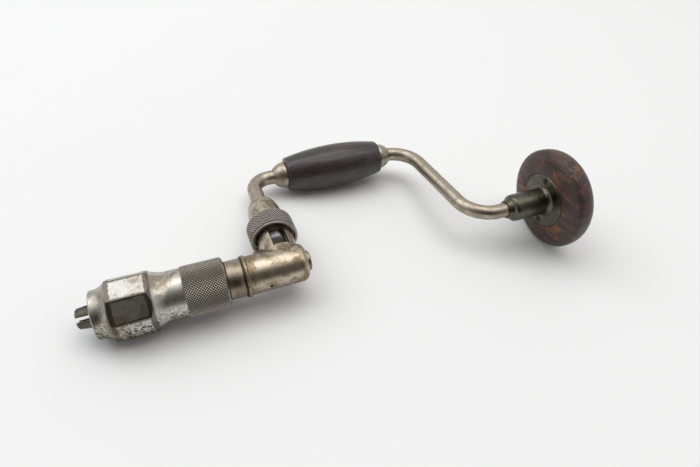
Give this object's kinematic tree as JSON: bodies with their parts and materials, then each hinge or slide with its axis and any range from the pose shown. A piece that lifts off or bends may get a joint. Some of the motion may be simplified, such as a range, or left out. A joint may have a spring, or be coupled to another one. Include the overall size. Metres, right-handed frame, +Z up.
{
  "type": "bit brace",
  "caption": "Bit brace with ring-shifted ratchet, octagonal two-jaw chuck, turning wooden grip and wooden head pad, lying at rest.",
  "frame": {"origin": "on the surface that the brace lies on, below the middle of its outline", "axes": "+X along the main axis, seen from above, from the chuck to the head; +Y from the main axis to the handle; +Z up"},
  "size_m": [0.3594, 0.1574, 0.0783],
  "materials": {
    "worn_nickel": "worn nickel plate with brown tarnish and dark pits",
    "brown_steel": "bare steel with an even brown patina",
    "dark_steel": "dark olive brown patina, half polished by use",
    "plain_steel": "bare machined steel, slightly dulled",
    "spring_steel": "oiled spring steel wire",
    "bronze": "oiled bearing bronze",
    "dark_rosewood": "near black rosewood, polished by hand",
    "red_rosewood": "dark red brown rosewood with black and orange figure, waxed"
  },
  "bodies": {
    "crank": {"crank_rod": "worn_nickel", "ratchet_housing": "worn_nickel", "front_bush": "bronze", "thrust_washer": "dark_steel", "arm_cap": "worn_nickel", "arm_pin": "plain_steel", "detent_ball": "plain_steel", "detent_spring": "spring_steel", "pawl_spring_upper": "spring_steel", "pawl_spring_lower": "spring_steel", "front_ferrule": "worn_nickel", "rear_ferrule": "worn_nickel", "head_collar": "plain_steel", "collar_pin": "plain_steel", "head_balls": "plain_steel"},
    "shifter": {"shifter_ring": "worn_nickel"},
    "upper_pawl": {"pawl_upper": "plain_steel"},
    "lower_pawl": {"pawl_lower": "plain_steel"},
    "chuck": {"spindle": "brown_steel", "ratchet_gear": "dark_steel", "gear_key": "plain_steel", "end_screw": "brown_steel", "jaw_springs": "spring_steel"},
    "shell": {"chuck_shell": "worn_nickel"},
    "upper_jaw": {"jaw_upper": "plain_steel"},
    "lower_jaw": {"jaw_lower": "plain_steel"},
    "handle": {"grip": "dark_rosewood"},
    "head": {"head_quill": "dark_steel", "head_pad": "red_rosewood", "head_screws": "dark_steel", "head_race": "plain_steel"}
  },
  "joints": [
    {"name": "chuck_turn", "type": "hinge", "parent": "crank", "child": "chuck", "pos_m": [-0.05488, -0.03969, 0.02497], "axis": [0.9979, 0, 0.0652], "continuous": true},
    {"name": "shell_turn", "type": "hinge", "parent": "chuck", "child": "shell", "pos_m": [-0.11476, -0.03969, 0.02106], "axis": [0.9979, 0, 0.0652], "range_deg": [0, 1440]},
    {"name": "upper_jaw_slide", "type": "slide", "parent": "chuck", "child": "upper_jaw", "axis": [0.9848, 0.0862, 0.1507], "range_m": [0, 0.008]},
    {"name": "lower_jaw_slide", "type": "slide", "parent": "chuck", "child": "lower_jaw", "axis": [0.9961, -0.0862, -0.0213], "range_m": [0, 0.008]},
    {"name": "ring_turn", "type": "hinge", "parent": "crank", "child": "shifter", "pos_m": [-0.05468, -0.01298, 0.02179], "axis": [0.0077, 0.993, -0.1181], "range_deg": [-25, 25]},
    {"name": "upper_pawl_lift", "type": "slide", "parent": "crank", "child": "upper_pawl", "axis": [0.0077, 0.993, -0.1181], "range_m": [0, 0.0024], "stiffness_N_per_m": 600, "springref_m": -0.002, "deforming": ["pawl_spring_upper"]},
    {"name": "lower_pawl_lift", "type": "slide", "parent": "crank", "child": "lower_pawl", "axis": [0.0077, 0.993, -0.1181], "range_m": [0, 0.0024], "stiffness_N_per_m": 600, "springref_m": -0.002, "deforming": ["pawl_spring_lower"]},
    {"name": "grip_turn", "type": "hinge", "parent": "crank", "child": "handle", "pos_m": [0.01575, 0.06119, 0.01753], "axis": [0.9979, 0, 0.0652], "continuous": true},
    {"name": "head_turn", "type": "hinge", "parent": "crank", "child": "head", "pos_m": [0.14469, -0.03969, 0.03801], "axis": [0.9979, 0, 0.0652], "continuous": true}
  ],
  "couplings": [
    {"joint": "upper_jaw_slide", "follows": "shell_turn", "m_per_rad": 0.00031831},
    {"joint": "lower_jaw_slide", "follows": "shell_turn", "m_per_rad": 0.00031831}
  ]
}
